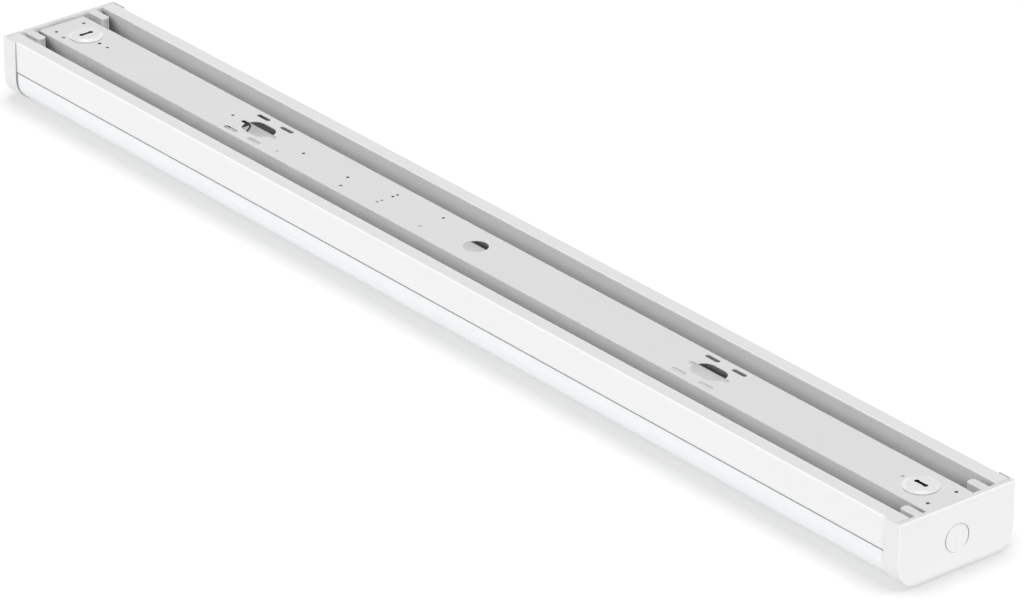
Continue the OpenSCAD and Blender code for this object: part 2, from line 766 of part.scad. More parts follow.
// Transformer: a tall core, and a lower winding that stands out on both sides of it
module driver_transformer() {
    core_l = 22;
    core_w = 20;
    winding_l = 14;
    winding_w = 24;
    winding_h = driver_part_h - 2;
    middle = (driver_x0 + driver_x1) / 2;
    color("goldenrod") {
        translate([middle - core_l / 2, -core_w / 2, driver_part_z])
            cube([core_l, core_w, driver_part_h]);
        translate([middle - winding_l / 2, -winding_w / 2, driver_part_z])
            cube([winding_l, winding_w, winding_h]);
    }
}
module driver_capacitors() {
    can_d = driver_part_h;
    can_l = 18;
    can_set = 14;
    can_y = can_d / 2 + 1;
    color("darkslateblue") for (x = [driver_x0 + can_set, driver_x1 - can_set - can_l], y = [-can_y, can_y])
        translate([x, y, driver_part_z + can_d / 2]) rotate([0, 90, 0]) cylinder(h = can_l, d = can_d);
}
module driver_screws() {
    color("dimgray") for (x = driver_holes) translate([x, 0, 0])
        screw(driver_plate_z, driver_plate_t + spine_t / 2);
}

// Terminal block under the spine, with a clamp and its screw at each wire entry
module terminal_block() {
    foot_w = 12;
    foot_l = terminal_pitch + 9;
    color("ivory") difference() {
        union() {
            translate([terminal_x0, -terminal_w / 2, terminal_z]) cube([terminal_l, terminal_w, terminal_h]);
            translate([terminal_x - foot_l / 2, -foot_w / 2, terminal_foot_z])
                cube([foot_l, foot_w, terminal_foot_t]);
        }
        for (x = terminal_holes) translate([x, 0, 0]) hole(spine_under_z, terminal_foot_t, screw_hole_d);
        for (y = entry_ys, side = [0, 1]) translate([terminal_x, y, entry_z]) mirror([side, 0, 0])
            translate([terminal_l / 2 - entry_depth, 0, 0]) rotate([0, 90, 0])
                cylinder(h = entry_depth + past, d = entry_d);
        at_each(clamp_places) translate([-clamp_l / 2, -clamp_w / 2, terminal_z - past])
            cube([clamp_l, clamp_w, terminal_h - clamp_roof_t + past]);
    }
}
module terminal_clamps() {
    fit = 0.1;
    low = terminal_z + 1;
    color("gold") at_each(clamp_places) difference() {
        translate([-clamp_l / 2 + fit, -clamp_w / 2 + fit, low])
            cube([clamp_l - 2 * fit, clamp_w - 2 * fit, terminal_z + terminal_h - clamp_roof_t - low]);
        translate([-clamp_l, 0, entry_z]) rotate([0, 90, 0]) cylinder(h = 2 * clamp_l, d = entry_d);
        translate([0, 0, terminal_z]) cylinder(h = terminal_h / 2, d = clamp_screw_d + 2 * shank_gap);
    }
}
module terminal_screws() {
    clamp_screw_l = entry_z - lead_d / 2 - lead_gap - terminal_z;
    color("silver") {
        for (x = terminal_holes) translate([x, 0, 0]) screw(terminal_foot_z, terminal_foot_t + spine_t / 2);
        at_each(clamp_places) translate([0, 0, terminal_z]) difference() {
            cylinder(h = clamp_screw_l, d = clamp_screw_d);
            translate([-clamp_screw_d, -recess_w / 2, -past])
                cube([2 * clamp_screw_d, recess_w, past + recess_w]);
        }
    }
}

// Leads: the live one crosses in front of the driver's end, and then lies on the neutral one
module live_lead() {
    y_out = driver_lead_ys[2];
    color("black") lead([
        [driver_in_x, y_out, driver_lead_z], [driver_end_x1 + 11, y_out, driver_lead_z],
        [driver_end_x1 + 26, -13, driver_lead_z - 2], [driver_end_x1 + 38, lane_2, high_z],
        [terminal_x0 - 32, lane_2, high_z], [terminal_x0 - 9, 0, entry_z],
        [terminal_x0 + lead_in, 0, entry_z]
    ]);
}
module neutral_lead() {
    y_out = driver_lead_ys[1];
    color("lightgray") lead([
        [driver_in_x, y_out, driver_lead_z], [driver_end_x1 + 8, y_out, driver_lead_z],
        [driver_end_x1 + 36, lane_2, low_z], [terminal_x0 - 22, lane_2, low_z],
        [terminal_x0 - 8, -entry_pitch, entry_z], [terminal_x0 + lead_in, -entry_pitch, entry_z]
    ]);
}
module earth_lead() {
    tag_x = earth_x - earth_tag_l;
    tag_lead_z = earth_tag_z - lead_d / 2 - lead_gap;
    color("green") lead([
        [terminal_x1 - lead_in, entry_pitch, entry_z], [terminal_x1 + 14, entry_pitch, entry_z],
        [terminal_x1 + 34, earth_y, low_z + 4], [tag_x - 21, earth_y, low_z + 4],
        [tag_x - 5, earth_y, tag_lead_z], [tag_x + lead_in, earth_y, tag_lead_z]
    ]);
}
module earth_tag() {
    color("gold") difference() {
        union() {
            translate([earth_x, earth_y, earth_tag_z]) cylinder(h = earth_tag_t, d = earth_tag_d);
            translate([earth_x - earth_tag_l, earth_y - earth_tag_w / 2, earth_tag_z])
                cube([earth_tag_l, earth_tag_w, earth_tag_t]);
        }
        translate([earth_x, earth_y, 0]) hole(spine_under_z, earth_tag_t, screw_hole_d);
    }
}
module earth_screw() {
    color("olivedrab") translate([earth_x, earth_y, 0]) screw(earth_tag_z, earth_tag_t + spine_t / 2);
}
// A lead from the driver along the foot of one leg, down through a grommet and into a connector
module led_lead(y_out, lane, place, in_x, y_in) {
    low = connector_z - lead_below;
    lead([
        [driver_in_x, y_out, driver_lead_z], [driver_end_x1 + 6, y_out, driver_lead_z],
        [driver_end_x1 + 20, lane, low_z], [place[0] - 12, lane, low_z],
        [place[0], place[1], low_z + 3], [place[0], place[1], low], [in_x - 11, y_in, low],
        [in_x - 5, y_in, connector_z], [in_x + lead_in, y_in, connector_z]
    ]);
}
module led_lead_red() {
    color("red") led_lead(driver_lead_ys[0], lane_1, grommets[0], connector_in_x, -connector_w / 4);
}
module led_lead_black() {
    color("black") led_lead(driver_lead_ys[3], far_lane, grommets[1], end_connector_in_x, connector_w / 4);
}
module lead_grommets() {
    hole_r = grommet_hole_d / 2;
    bore_r = hole_r - grommet_t;
    flange_r = hole_r + grommet_flange;
    color("dimgray") at_each(grommets) rotate_extrude() polygon([
        [bore_r, floor_under_z - grommet_flange_t], [flange_r, floor_under_z - grommet_flange_t],
        [flange_r, floor_under_z], [hole_r, floor_under_z], [hole_r, floor_z], [flange_r, floor_z],
        [flange_r, floor_z + grommet_flange_t], [bore_r, floor_z + grommet_flange_t]
    ]);
}

housing();
mounting_spine();
spine_rivets();
diffuser();
end_cap_left();
end_cap_right();
cable_plug_left();
cable_plug_right();
led_board_left();
led_board_right();
led_chips_left();
led_chips_right();
board_screws();
board_connectors();
board_jumper();
lead_grommets();
driver_base();
driver_case();
driver_board();
driver_transformer();
driver_capacitors();
driver_screws();
terminal_block();
terminal_clamps();
terminal_screws();
live_lead();
neutral_lead();
earth_lead();
earth_screw();
earth_tag();
led_lead_red();
led_lead_black();
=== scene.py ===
import json
import math

import bpy
from mathutils import Matrix, Vector


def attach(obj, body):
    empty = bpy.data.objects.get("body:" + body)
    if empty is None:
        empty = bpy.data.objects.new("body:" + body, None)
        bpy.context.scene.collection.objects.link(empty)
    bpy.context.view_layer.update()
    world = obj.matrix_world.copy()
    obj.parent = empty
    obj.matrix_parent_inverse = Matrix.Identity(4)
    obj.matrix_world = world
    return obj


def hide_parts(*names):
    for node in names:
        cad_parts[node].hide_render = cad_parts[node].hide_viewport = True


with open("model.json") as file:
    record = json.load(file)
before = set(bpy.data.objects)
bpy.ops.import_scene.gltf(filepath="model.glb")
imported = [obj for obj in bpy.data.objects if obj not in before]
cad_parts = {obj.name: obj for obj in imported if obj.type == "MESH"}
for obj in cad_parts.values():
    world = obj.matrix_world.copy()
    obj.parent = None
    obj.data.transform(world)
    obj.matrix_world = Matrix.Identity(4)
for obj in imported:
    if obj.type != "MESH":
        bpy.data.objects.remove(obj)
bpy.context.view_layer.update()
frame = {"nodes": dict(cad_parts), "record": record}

nodes = frame["nodes"]
mm = 0.001
mergeWithin = 0.000002      # points nearer to each other than this become one
print("frame loaded:", len(nodes), "nodes")


cameraSetup = {
    "azimuth": 50.8372,             # degrees round from facing the light's long side
    "elevation": 26.2949,
    "roll": 0.0367,
    "distance": 5.8044,
    "aside": (0.03018, -0.04927),   # how far right and up of its aim the camera stands
    "aim": (0, 0, 0.06),
    "lens": 243.72,
    "sensor": 36,
    "clipEnd": 60,
}


def addCamera(setup):
    turn, tilt, roll = (math.radians(setup[key]) for key in ("azimuth", "elevation", "roll"))
    forward = Vector((-math.sin(turn) * math.cos(tilt), math.cos(turn) * math.cos(tilt), -math.sin(tilt)))
    level = Vector((math.cos(turn), math.sin(turn), 0))
    upright = level.cross(forward)
    right = level * math.cos(roll) + upright * math.sin(roll)
    up = upright * math.cos(roll) - level * math.sin(roll)
    place = Vector(setup["aim"]) - forward * setup["distance"]
    place += right * setup["aside"][0] + up * setup["aside"][1]
    data = bpy.data.cameras.new("photoCamera")
    data.lens = setup["lens"]
    data.sensor_width = setup["sensor"]
    data.clip_end = setup["clipEnd"]
    camera = bpy.data.objects.new("photoCamera", data)
    camera.matrix_world = Matrix((right, up, -forward)).transposed().to_4x4()
    camera.location = place
    bpy.context.collection.objects.link(camera)
    bpy.context.scene.camera = camera


def deselectAll():
    if bpy.context.object and bpy.context.object.mode != "OBJECT":
        bpy.ops.object.mode_set(mode="OBJECT")
    bpy.ops.object.select_all(action="DESELECT")


def makeActive(piece):
    deselectAll()
    piece.select_set(True)
    bpy.context.view_layer.objects.active = piece


def addNode(tree, kind, place, inputs=None, **settings):
    made = tree.nodes.new(kind)
    made.location = place
    for key, value in settings.items():
        setattr(made, key, value)
    for key, value in (inputs or {}).items():
        made.inputs[key].default_value = value
    return made


def connect(tree, *pairs):
    for source, target in pairs:
        tree.links.new(source, target)


studio = {
    "floorSize": 24,
    "floorGap": 0.0002,                     # keeps the floor off the undersides of the caps
    "floorSeen": (0.5, 0.5, 0.5, 1),        # as the camera and reflections see it
    "floorBounce": (0.4, 0.4, 0.4, 1),      # what it throws back up at the light
    "floorGlow": (0.19, 0.63),              # its glow beside the light and in the open, seen the same way; the weaker glow beside the light is a painted shadow
    "glowFrom": 0.5,                        # openness at which the glow is weakest
    "shadowReach": 0.044,
    "skyStrength": 0.35,
    "overhead": 1.86,                       # a lamp straight above, which casts no shadow
    "overheadSpread": 20,
    "fillLamps": 0.5,                       # one level with each side, without shadow
    "fillCount": 4,
    "sideLamps": 0.46,                      # level lamps all round, which leave the grooves alone
    "sideCount": 12,
    "endShare": 0.1,                        # how much stronger the lamps at the ends are
    "sideHeight": 0.12,                     # degrees over the floor
    "sideSpread": 0.2,
}


def addSun(name, strength, direction, spread, shadow=True):
    data = bpy.data.lights.new(name, "SUN")
    data.energy = strength
    data.angle = math.radians(spread)
    data.use_shadow = shadow
    lamp = bpy.data.objects.new(name, data)
    lamp.rotation_euler = Vector(direction).to_track_quat("-Z", "Y").to_euler()
    bpy.context.collection.objects.link(lamp)


def seenDirectly(tree, place):
    # 1 where the camera, a reflection or a see-through surface looks at the surface
    paths = addNode(tree, "ShaderNodeLightPath", place)
    first = addNode(tree, "ShaderNodeMath", (place[0] + 200, place[1]), operation="MAXIMUM")
    second = addNode(tree, "ShaderNodeMath", (place[0] + 400, place[1]), operation="MAXIMUM")
    connect(tree,
            (paths.outputs["Is Camera Ray"], first.inputs[0]),
            (paths.outputs["Is Glossy Ray"], first.inputs[1]),
            (first.outputs[0], second.inputs[0]),
            (paths.outputs["Is Transmission Ray"], second.inputs[1]))
    return second.outputs[0]


def addFloor(setup):
    deselectAll()
    bpy.ops.mesh.primitive_plane_add(size=setup["floorSize"], location=(0, 0, -setup["floorGap"]))
    floor = bpy.context.object
    floor.name = "studioFloor"
    material = bpy.data.materials.new("studioFloor")
    material.use_nodes = True
    tree = material.node_tree
    tree.nodes.clear()
    plain = addNode(tree, "ShaderNodeBsdfDiffuse", (0, 0), {"Color": setup["floorBounce"]})
    seen = addNode(tree, "ShaderNodeBsdfDiffuse", (0, 100), {"Color": setup["floorSeen"]})
    # painted shadow: the floor's glow, as the camera sees it, is weaker where the light is close
    corners = addNode(tree, "ShaderNodeAmbientOcclusion", (-400, 200), {"Distance": setup["shadowReach"]})
    share = addNode(tree, "ShaderNodeMapRange", (-200, 200), {
        "From Min": setup["glowFrom"], "To Min": setup["floorGlow"][0], "To Max": setup["floorGlow"][1]})
    glow = addNode(tree, "ShaderNodeEmission", (0, 200))
    both = addNode(tree, "ShaderNodeAddShader", (200, 150))
    mix = addNode(tree, "ShaderNodeMixShader", (400, 50))
    side = addNode(tree, "ShaderNodeNewGeometry", (400, 300))
    clear = addNode(tree, "ShaderNodeBsdfTransparent", (400, -100))
    underneath = addNode(tree, "ShaderNodeMixShader", (600, 50))    # from below the floor isn't there
    output = addNode(tree, "ShaderNodeOutputMaterial", (800, 50))
    connect(tree,
            (corners.outputs["AO"], share.inputs["Value"]),
            (share.outputs[0], glow.inputs["Strength"]),
            (glow.outputs[0], both.inputs[0]),
            (seen.outputs[0], both.inputs[1]),
            (seenDirectly(tree, (-500, 400)), mix.inputs[0]),
            (plain.outputs[0], mix.inputs[1]),
            (both.outputs[0], mix.inputs[2]),
            (side.outputs["Backfacing"], underneath.inputs[0]),
            (mix.outputs[0], underneath.inputs[1]),
            (clear.outputs[0], underneath.inputs[2]),
            (underneath.outputs[0], output.inputs["Surface"]))
    floor.data.materials.append(material)


def addLight(setup):
    world = bpy.data.worlds.new("studioSky")
    bpy.context.scene.world = world
    world.use_nodes = True
    tree = world.node_tree
    tree.nodes.clear()
    sky = addNode(tree, "ShaderNodeBackground", (0, 0), {"Strength": setup["skyStrength"]})
    white = addNode(tree, "ShaderNodeBackground", (0, 150), {"Strength": 1})
    for background in (sky, white):
        background.inputs["Color"].default_value = (1, 1, 1, 1)
    mix = addNode(tree, "ShaderNodeMixShader", (200, 0))
    output = addNode(tree, "ShaderNodeOutputWorld", (400, 0))
    connect(tree,
            (seenDirectly(tree, (-700, 300)), mix.inputs[0]),
            (sky.outputs[0], mix.inputs[1]),
            (white.outputs[0], mix.inputs[2]),
            (mix.outputs[0], output.inputs["Surface"]))

    addSun("overheadLamp", setup["overhead"], (0, 0, -1), setup["overheadSpread"], shadow=False)
    fall = -math.tan(math.radians(setup["sideHeight"]))
    for name, strength, count, shadow in (
            ("fillLamp", setup["fillLamps"], setup["fillCount"], False),
            ("sideLamp", setup["sideLamps"], setup["sideCount"], True)):
        for index in range(count):
            angle = 2 * math.pi * index / count
            share = 1 + setup["endShare"] * math.cos(angle) ** 2
            addSun(f"{name}{index}", strength * share, (math.cos(angle), math.sin(angle), fall),
                   setup["sideSpread"], shadow)


addCamera(cameraSetup)
addFloor(studio)
addLight(studio)
bpy.context.scene.view_settings.view_transform = "Standard"
print("camera, floor and light are set")


def newGroup(name, inputs, outputs):
    group = bpy.data.node_groups.new(name, "ShaderNodeTree")
    for label, kind, value in inputs:
        socket = group.interface.new_socket(name=label, in_out="INPUT", socket_type=kind)
        if value is not None:
            socket.default_value = value
    for label in outputs:
        group.interface.new_socket(name=label, in_out="OUTPUT", socket_type="NodeSocketFloat")
    start = addNode(group, "NodeGroupInput", (-900, 0))
    end = addNode(group, "NodeGroupOutput", (900, 0))
    return group, start, end


def makeGrainGroup():
    # fine height, slow mottle and uneven roughness of a coated or moulded surface
    group, start, end = newGroup("surfaceGrain", [
        ("Vector", "NodeSocketVector", None),
        ("Grain Scale", "NodeSocketFloat", 900.0),
        ("Mottle Scale", "NodeSocketFloat", 14.0),
        ("Roughness", "NodeSocketFloat", 0.4),
        ("Spread", "NodeSocketFloat", 0.08),
    ], ["Mottle", "Roughness", "Height"])
    fine = addNode(group, "ShaderNodeTexNoise", (-600, 250), {"Detail": 4, "Roughness": 0.55})
    slow = addNode(group, "ShaderNodeTexNoise", (-600, -50), {"Detail": 5, "Roughness": 0.6})
    tone = addNode(group, "ShaderNodeMapRange", (-300, -50), {"From Min": 0.35, "From Max": 0.65})
    around = addNode(group, "ShaderNodeMath", (-100, -250), {1: 0.5}, operation="SUBTRACT")
    spread = addNode(group, "ShaderNodeMath", (100, -250), operation="MULTIPLY")
    rough = addNode(group, "ShaderNodeMath", (300, -250), operation="ADD", use_clamp=True)
    connect(group,
            (start.outputs["Vector"], fine.inputs["Vector"]),
            (start.outputs["Vector"], slow.inputs["Vector"]),
            (start.outputs["Grain Scale"], fine.inputs["Scale"]),
            (start.outputs["Mottle Scale"], slow.inputs["Scale"]),
            (slow.outputs["Fac"], tone.inputs["Value"]),
            (tone.outputs[0], around.inputs[0]),
            (around.outputs[0], spread.inputs[0]),
            (start.outputs["Spread"], spread.inputs[1]),
            (start.outputs["Roughness"], rough.inputs[0]),
            (spread.outputs[0], rough.inputs[1]),
            (tone.outputs[0], end.inputs["Mottle"]),
            (rough.outputs[0], end.inputs["Roughness"]),
            (fine.outputs["Fac"], end.inputs["Height"]))
    return group


def makeWearGroup():
    # mask along edges, broken up so that it comes and goes
    group, start, end = newGroup("edgeWear", [
        ("Vector", "NodeSocketVector", None),
        ("Radius", "NodeSocketFloat", 0.0006),
        ("Break-up", "NodeSocketFloat", 120.0),
        ("Amount", "NodeSocketFloat", 0.5),
    ], ["Mask"])
    rounded = addNode(group, "ShaderNodeBevel", (-600, 100), samples=4)
    flat = addNode(group, "ShaderNodeNewGeometry", (-600, -150))
    dot = addNode(group, "ShaderNodeVectorMath", (-400, 0), operation="DOT_PRODUCT")
    edge = addNode(group, "ShaderNodeMapRange", (-200, 0), {"From Min": 0.995, "From Max": 0.8})
    noise = addNode(group, "ShaderNodeTexNoise", (-400, -350), {"Detail": 6, "Roughness": 0.7})
    broken = addNode(group, "ShaderNodeMapRange", (-200, -350), {"From Min": 0.45, "From Max": 0.62})
    product = addNode(group, "ShaderNodeMath", (100, 0), operation="MULTIPLY")
    amount = addNode(group, "ShaderNodeMath", (300, 0), operation="MULTIPLY", use_clamp=True)
    connect(group,
            (start.outputs["Radius"], rounded.inputs["Radius"]),
            (rounded.outputs["Normal"], dot.inputs[0]),
            (flat.outputs["Normal"], dot.inputs[1]),
            (dot.outputs["Value"], edge.inputs["Value"]),
            (start.outputs["Vector"], noise.inputs["Vector"]),
            (start.outputs["Break-up"], noise.inputs["Scale"]),
            (noise.outputs["Fac"], broken.inputs["Value"]),
            (edge.outputs[0], product.inputs[0]),
            (broken.outputs[0], product.inputs[1]),
            (product.outputs[0], amount.inputs[0]),
            (start.outputs["Amount"], amount.inputs[1]),
            (amount.outputs[0], end.inputs["Mask"]))
    return group


def makeDustAndShadeGroup():
    # thin speckled dust on every face, with painted shade in corners
    group, start, end = newGroup("dustAndCornerShade", [
        ("Vector", "NodeSocketVector", None),
        ("Scale", "NodeSocketFloat", 60.0),
        ("Amount", "NodeSocketFloat", 0.1),
    ], ["Mask"])
    corner = addNode(group, "ShaderNodeAmbientOcclusion", (-600, 150), {"Distance": 0.006}, samples=4)
    inverse = addNode(group, "ShaderNodeMath", (-400, 150), {0: 1.0}, operation="SUBTRACT")
    noise = addNode(group, "ShaderNodeTexNoise", (-600, -200), {"Detail": 6, "Roughness": 0.65})
    speckle = addNode(group, "ShaderNodeMapRange", (-400, -200), {"From Min": 0.42, "From Max": 0.7})
    both = addNode(group, "ShaderNodeMath", (-150, 0), operation="ADD", use_clamp=True)
    amount = addNode(group, "ShaderNodeMath", (100, 0), operation="MULTIPLY", use_clamp=True)
    connect(group,
            (corner.outputs["AO"], inverse.inputs[1]),
            (start.outputs["Vector"], noise.inputs["Vector"]),
            (start.outputs["Scale"], noise.inputs["Scale"]),
            (noise.outputs["Fac"], speckle.inputs["Value"]),
            (inverse.outputs[0], both.inputs[0]),
            (speckle.outputs[0], both.inputs[1]),
            (both.outputs[0], amount.inputs[0]),
            (start.outputs["Amount"], amount.inputs[1]),
            (amount.outputs[0], end.inputs["Mask"]))
    return group


wallShade = {"from": 0.059, "to": 0.044}     # heights between which the walls darken with painted shade


def makePaintedShadeGroup():
    # painted shade on upright faces, stronger lower down and deeper in, and on level faces in narrow gaps
    group, start, end = newGroup("cornerPaintedShade", [
        ("Vector", "NodeSocketVector", None),
        ("Reach", "NodeSocketFloat", 0.03),
        ("Amount", "NodeSocketFloat", 0.4),
        ("Level", "NodeSocketFloat", 0.0),
        ("Level From", "NodeSocketFloat", 0.0),
    ], ["Mask"])
    corner = addNode(group, "ShaderNodeAmbientOcclusion", (-700, 200), samples=8)
    shade = addNode(group, "ShaderNodeMapRange", (-450, 300), {"From Min": 0.95, "From Max": 0.6})
    deep = addNode(group, "ShaderNodeMapRange", (-450, 50), {
        "From Min": 0.35, "From Max": 0.12, "To Max": 4.0})
    narrow = addNode(group, "ShaderNodeMapRange", (-450, -200), {"From Min": 0.7, "From Max": 0.25})
    spot = addNode(group, "ShaderNodeSeparateXYZ", (-700, -50))
    depth = addNode(group, "ShaderNodeMapRange", (-450, -450), {
        "From Min": wallShade["from"], "From Max": wallShade["to"]})
    facing = addNode(group, "ShaderNodeNewGeometry", (-900, -400))
    parts = addNode(group, "ShaderNodeSeparateXYZ", (-700, -400))
    level = addNode(group, "ShaderNodeMath", (-450, -700), operation="ABSOLUTE")
    upright = addNode(group, "ShaderNodeMath", (-250, -600), {0: 1.0}, operation="SUBTRACT")
    low = addNode(group, "ShaderNodeMath", (-200, 300), operation="MULTIPLY_ADD")
    wall = addNode(group, "ShaderNodeMath", (0, 200), operation="MULTIPLY")
    walls = addNode(group, "ShaderNodeMath", (200, 200), operation="MULTIPLY")
    above = addNode(group, "ShaderNodeMath", (-200, -350), operation="GREATER_THAN")
    high = addNode(group, "ShaderNodeMath", (-50, -300), operation="MULTIPLY")
    gap = addNode(group, "ShaderNodeMath", (0, -200), operation="MULTIPLY")
    gaps = addNode(group, "ShaderNodeMath", (200, -200), operation="MULTIPLY")
    both = addNode(group, "ShaderNodeMath", (500, 0), operation="ADD", use_clamp=True)
    connect(group,
            (start.outputs["Reach"], corner.inputs["Distance"]),
            (corner.outputs["AO"], shade.inputs["Value"]),
            (corner.outputs["AO"], deep.inputs["Value"]),
            (corner.outputs["AO"], narrow.inputs["Value"]),
            (start.outputs["Vector"], spot.inputs[0]),
            (spot.outputs["Z"], depth.inputs["Value"]),
            (facing.outputs["Normal"], parts.inputs[0]),
            (parts.outputs["Z"], level.inputs[0]),
            (level.outputs[0], upright.inputs[1]),
            (shade.outputs[0], low.inputs[0]),
            (depth.outputs[0], low.inputs[1]),
            (deep.outputs[0], low.inputs[2]),
            (low.outputs[0], wall.inputs[0]),
            (upright.outputs[0], wall.inputs[1]),
            (wall.outputs[0], walls.inputs[0]),
            (start.outputs["Amount"], walls.inputs[1]),
            (narrow.outputs[0], gap.inputs[0]),
            (spot.outputs["Z"], above.inputs[0]),
            (start.outputs["Level From"], above.inputs[1]),
            (level.outputs[0], high.inputs[0]),
            (above.outputs[0], high.inputs[1]),
            (high.outputs[0], gap.inputs[1]),
            (gap.outputs[0], gaps.inputs[0]),
            (start.outputs["Level"], gaps.inputs[1]),
            (walls.outputs[0], both.inputs[0]),
            (gaps.outputs[0], both.inputs[1]),
            (both.outputs[0], end.inputs["Mask"]))
    return group


effects = {"grain": makeGrainGroup(), "wear": makeWearGroup(), "dustAndShade": makeDustAndShadeGroup(),
           "paintedShade": makePaintedShadeGroup()}

# what each finish has unless it says otherwise; its main colour and the mottle's second tone are its own
plainLook = {
    "worn": (0.7, 0.7, 0.7),            # along the edges
    # dust colour, which also serves as painted shade in corners
    "dustAndShade": (0.74, 0.73, 0.71),
    "paintedShade": (0.05, 0.05, 0.05),        # colour of the painted shade in deep corners
    "paintedShadeReach": 0.03,
    "paintedShadeAmount": 0.0,                 # painted shade on upright faces
    "paintedShadeLevel": 0.0,                  # painted shade on level faces above the height that follows
    "paintedShadeFrom": 0.0,
    "insideShadeHalf": 0.0,                  # half width of the hidden space that has the inside tone, a painted shade
    "insideEnds": 0.515,                # from the middle, past which that space is painted black as shadow under the plugs
    # black of the painted shadow under the plugs
    "insideDeepShadow": (0.02, 0.02, 0.02),
    "wearAmount": 0.3,
    "wearRadius": 0.0005,
    "dustAndShadeAmount": 0.06,
    "roughness": 0.4,
    "spread": 0.08,
    "grainScale": 900.0,
    "mottleScale": 14.0,
    "bump": 0.05,
    "bumpDepth": 0.0001,
    "metallic": 0.0,
    "specular": 0.5,
    "subsurface": 0.0,
    "subsurfaceRadius": (0.004, 0.004, 0.005),
}


def mixColour(tree, place, factor, first, second):
    mix = addNode(tree, "ShaderNodeMix", place, data_type="RGBA")
    for key, value in ((0, factor), (6, first), (7, second)):
        if isinstance(value, bpy.types.NodeSocket):
            tree.links.new(value, mix.inputs[key])
        elif key:
            mix.inputs[key].default_value = (*value, 1)
        else:
            mix.inputs[key].default_value = value
    return mix.outputs[2]


def addEffect(tree, effect, place, vector, inputs):
    made = addNode(tree, "ShaderNodeGroup", place, node_tree=effects[effect])
    for key, value in inputs.items():
        made.inputs[key].default_value = value
    tree.links.new(vector, made.inputs["Vector"])
    return made.outputs


def shadeInside(tree, vector, look, outside):
    # painted shade on the hidden space between the two legs of the spine, painted black as shadow near
    # its ends
    axes = addNode(tree, "ShaderNodeSeparateXYZ", (-500, -550))
    across = addNode(tree, "ShaderNodeMath", (-300, -550), operation="ABSOLUTE")
    along = addNode(tree, "ShaderNodeMath", (-300, -750), operation="ABSOLUTE")
    within = addNode(tree, "ShaderNodeMath", (-150, -550), {1: look["insideShadeHalf"]},
                     operation="LESS_THAN")
    beyond = addNode(tree, "ShaderNodeMath", (-150, -750), {1: look["insideEnds"]},
                     operation="GREATER_THAN")
    connect(tree,
            (vector, axes.inputs[0]),
            (axes.outputs["Y"], across.inputs[0]),
            (axes.outputs["X"], along.inputs[0]),
            (across.outputs[0], within.inputs[0]),
            (along.outputs[0], beyond.inputs[0]))
    hidden = mixColour(tree, (0, -400), beyond.outputs[0], look["inside"], look["insideDeepShadow"])
    return mixColour(tree, (0, 0), within.outputs[0], outside, hidden)


def makeFinish(name, changes):
    look = {**plainLook, **changes}
    material = bpy.data.materials.new(name)
    material.use_nodes = True
    tree = material.node_tree
    shader = tree.nodes["Principled BSDF"]
    for key, value in (("Metallic", "metallic"), ("Specular IOR Level", "specular"),
                       ("Subsurface Weight", "subsurface"), ("Subsurface Radius", "subsurfaceRadius")):
        shader.inputs[key].default_value = look[value]
    shader.inputs["Subsurface Scale"].default_value = 1.0
    vector = addNode(tree, "ShaderNodeTexCoord", (-1500, 0)).outputs["Object"]
    grain = addEffect(tree, "grain", (-1000, 200), vector, {
        "Grain Scale": look["grainScale"], "Mottle Scale": look["mottleScale"],
        "Roughness": look["roughness"], "Spread": look["spread"]})
    wear = addEffect(tree, "wear", (-1000, -150), vector, {
        "Radius": look["wearRadius"], "Amount": look["wearAmount"]})
    # speckled dust, with painted shade in corners
    dustAndShade = addEffect(tree, "dustAndShade", (-1000, -400), vector, {"Amount": look["dustAndShadeAmount"]})

    mottled = mixColour(tree, (-700, 200), grain["Mottle"], look["colour"], look["tone"])
    dustyAndShaded = mixColour(tree, (-500, 100), dustAndShade["Mask"], mottled, look["dustAndShade"])
    colour = mixColour(tree, (-300, 0), wear["Mask"], dustyAndShaded, look["worn"])
    # painted shade, darker in corners, seams and narrow gaps
    if look["paintedShadeAmount"]:
        paintedShade = addEffect(tree, "paintedShade", (-500, -250), vector, {
            "Reach": look["paintedShadeReach"], "Amount": look["paintedShadeAmount"],
            "Level": look["paintedShadeLevel"], "Level From": look["paintedShadeFrom"]})
        colour = mixColour(tree, (-150, 0), paintedShade["Mask"], colour, look["paintedShade"])
    if look["insideShadeHalf"]:
        colour = shadeInside(tree, vector, look, colour)
    bump = addNode(tree, "ShaderNodeBump", (-300, -300),
                   {"Strength": look["bump"], "Distance": look["bumpDepth"]})
    connect(tree,
            (colour, shader.inputs["Base Color"]),
            (grain["Roughness"], shader.inputs["Roughness"]),
            (grain["Height"], bump.inputs["Height"]),
            (bump.outputs["Normal"], shader.inputs["Normal"]))
    return material
